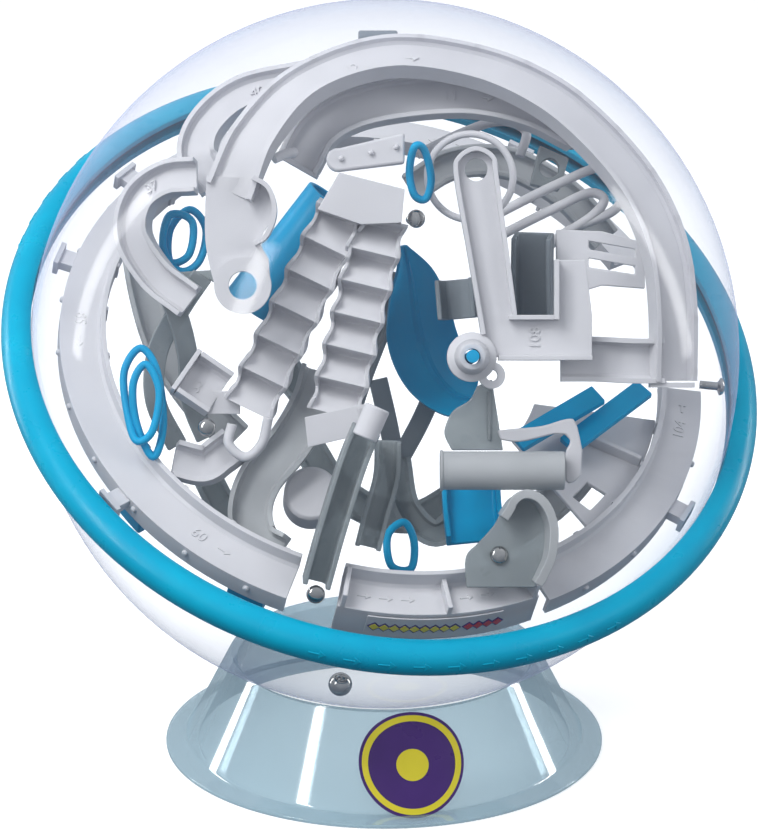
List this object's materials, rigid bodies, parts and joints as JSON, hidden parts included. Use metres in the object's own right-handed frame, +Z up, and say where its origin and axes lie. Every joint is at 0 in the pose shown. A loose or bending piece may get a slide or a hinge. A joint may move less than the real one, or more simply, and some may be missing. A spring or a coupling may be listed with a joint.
{
  "type": "tilt maze game",
  "caption": "Clear globe with a ball maze inside and a glossy rim round its middle, resting in a flared clear stand; the globe tilts and lifts off.",
  "frame": {"origin": "centre of the stand's foot, on the surface that the stand rests on, under the centre of the globe", "axes": "+Z up; the player is on the -Y side; +X to the player's right; at rest the rim tilts towards the player"},
  "size_m": [0.2386, 0.2238, 0.2435],
  "materials": {
    "clear_shell": "clear and glossy",
    "rim_blue": "glossy cyan",
    "maze_white": "satin white",
    "maze_pale": "satin pale grey",
    "maze_grey": "smoky grey, satin",
    "maze_dark": "dark grey, satin",
    "maze_blue": "blue, satin",
    "steel": "polished",
    "stand_clear": "clear pale blue, glossy",
    "label": "printed label"
  },
  "bodies": {
    "stand": {"stand": "stand_clear", "stand_badge": "label"},
    "pin": {"tilt_pin": "steel"},
    "globe": {"arm_rivet": "steel", "arm_roller": "maze_white", "ball_tube": "maze_pale", "block_rivet": "steel", "blue_chute": "maze_blue", "catch_hoop": "maze_white", "centre_legs": "maze_dark", "centre_trough": "maze_grey", "cross_bar": "maze_white", "dark_chute": "maze_dark", "dark_housing": "maze_dark", "dome_rivet": "steel", "dome_scoop": "maze_pale", "fork_rails": "maze_grey", "front_blue_block": "maze_blue", "hanging_wire_loop": "maze_blue", "hook_trough": "maze_pale", "housing_rivet": "steel", "hub_plate": "maze_grey", "inner_arch_track": "maze_white", "keyhole_track": "maze_white", "left_blue_block": "maze_blue", "left_lobe_track": "maze_white", "left_ring_track": "maze_white", "left_wire_loops": "maze_blue", "low_left_track": "maze_white", "low_wire_loop": "maze_blue", "lower_blue_bar": "maze_blue", "lower_rim": "rim_blue", "lower_shell": "clear_shell", "outer_arch_track": "maze_white", "rail_block": "maze_grey", "rear_blue_tube": "maze_blue", "rear_ring_track": "maze_white", "return_loop": "maze_white", "rib_bridge": "maze_white", "right_plate": "maze_white", "right_ring_track": "maze_white", "round_stop": "maze_white", "smoke_arm": "maze_grey", "smoke_trough": "maze_grey", "stair_rivet": "steel", "stair_tray": "maze_white", "start_label": "label", "start_tray": "maze_white", "top_knob": "maze_dark", "top_wire_rail": "maze_white", "tube_hanger": "maze_white", "twin_stairs": "maze_white", "twin_wire_rails": "maze_white", "upper_blue_bar": "maze_blue", "upper_left_track": "maze_white", "upper_rim": "rim_blue", "upper_shell": "clear_shell", "upper_wire_loops": "maze_blue"},
    "scoop": {"turning_scoop": "maze_blue"},
    "ball": {"steel_ball": "steel"}
  },
  "joints": [
    {"name": "globe_lift", "type": "slide", "parent": "stand", "child": "pin", "axis": [0, 0, 1], "range_m": [0, 0.13]},
    {"name": "globe_tilt", "type": "hinge", "parent": "pin", "child": "globe", "pos_m": [0, 0, 0.1315], "axis": [0.9954, -0.0298, -0.0913], "range_deg": [-90, 22]},
    {"name": "scoop_turn", "type": "hinge", "parent": "globe", "child": "scoop", "pos_m": [0.026, -0.00062, 0.1296], "axis": [0, -0.9505, 0.3107], "range_deg": [-45, 45]},
    {"name": "ball_roll", "type": "hinge", "parent": "globe", "child": "ball", "pos_m": [0, 0, 0.1315], "axis": [0.953, -0.303, 0], "range_deg": [-22, 110]}
  ]
}
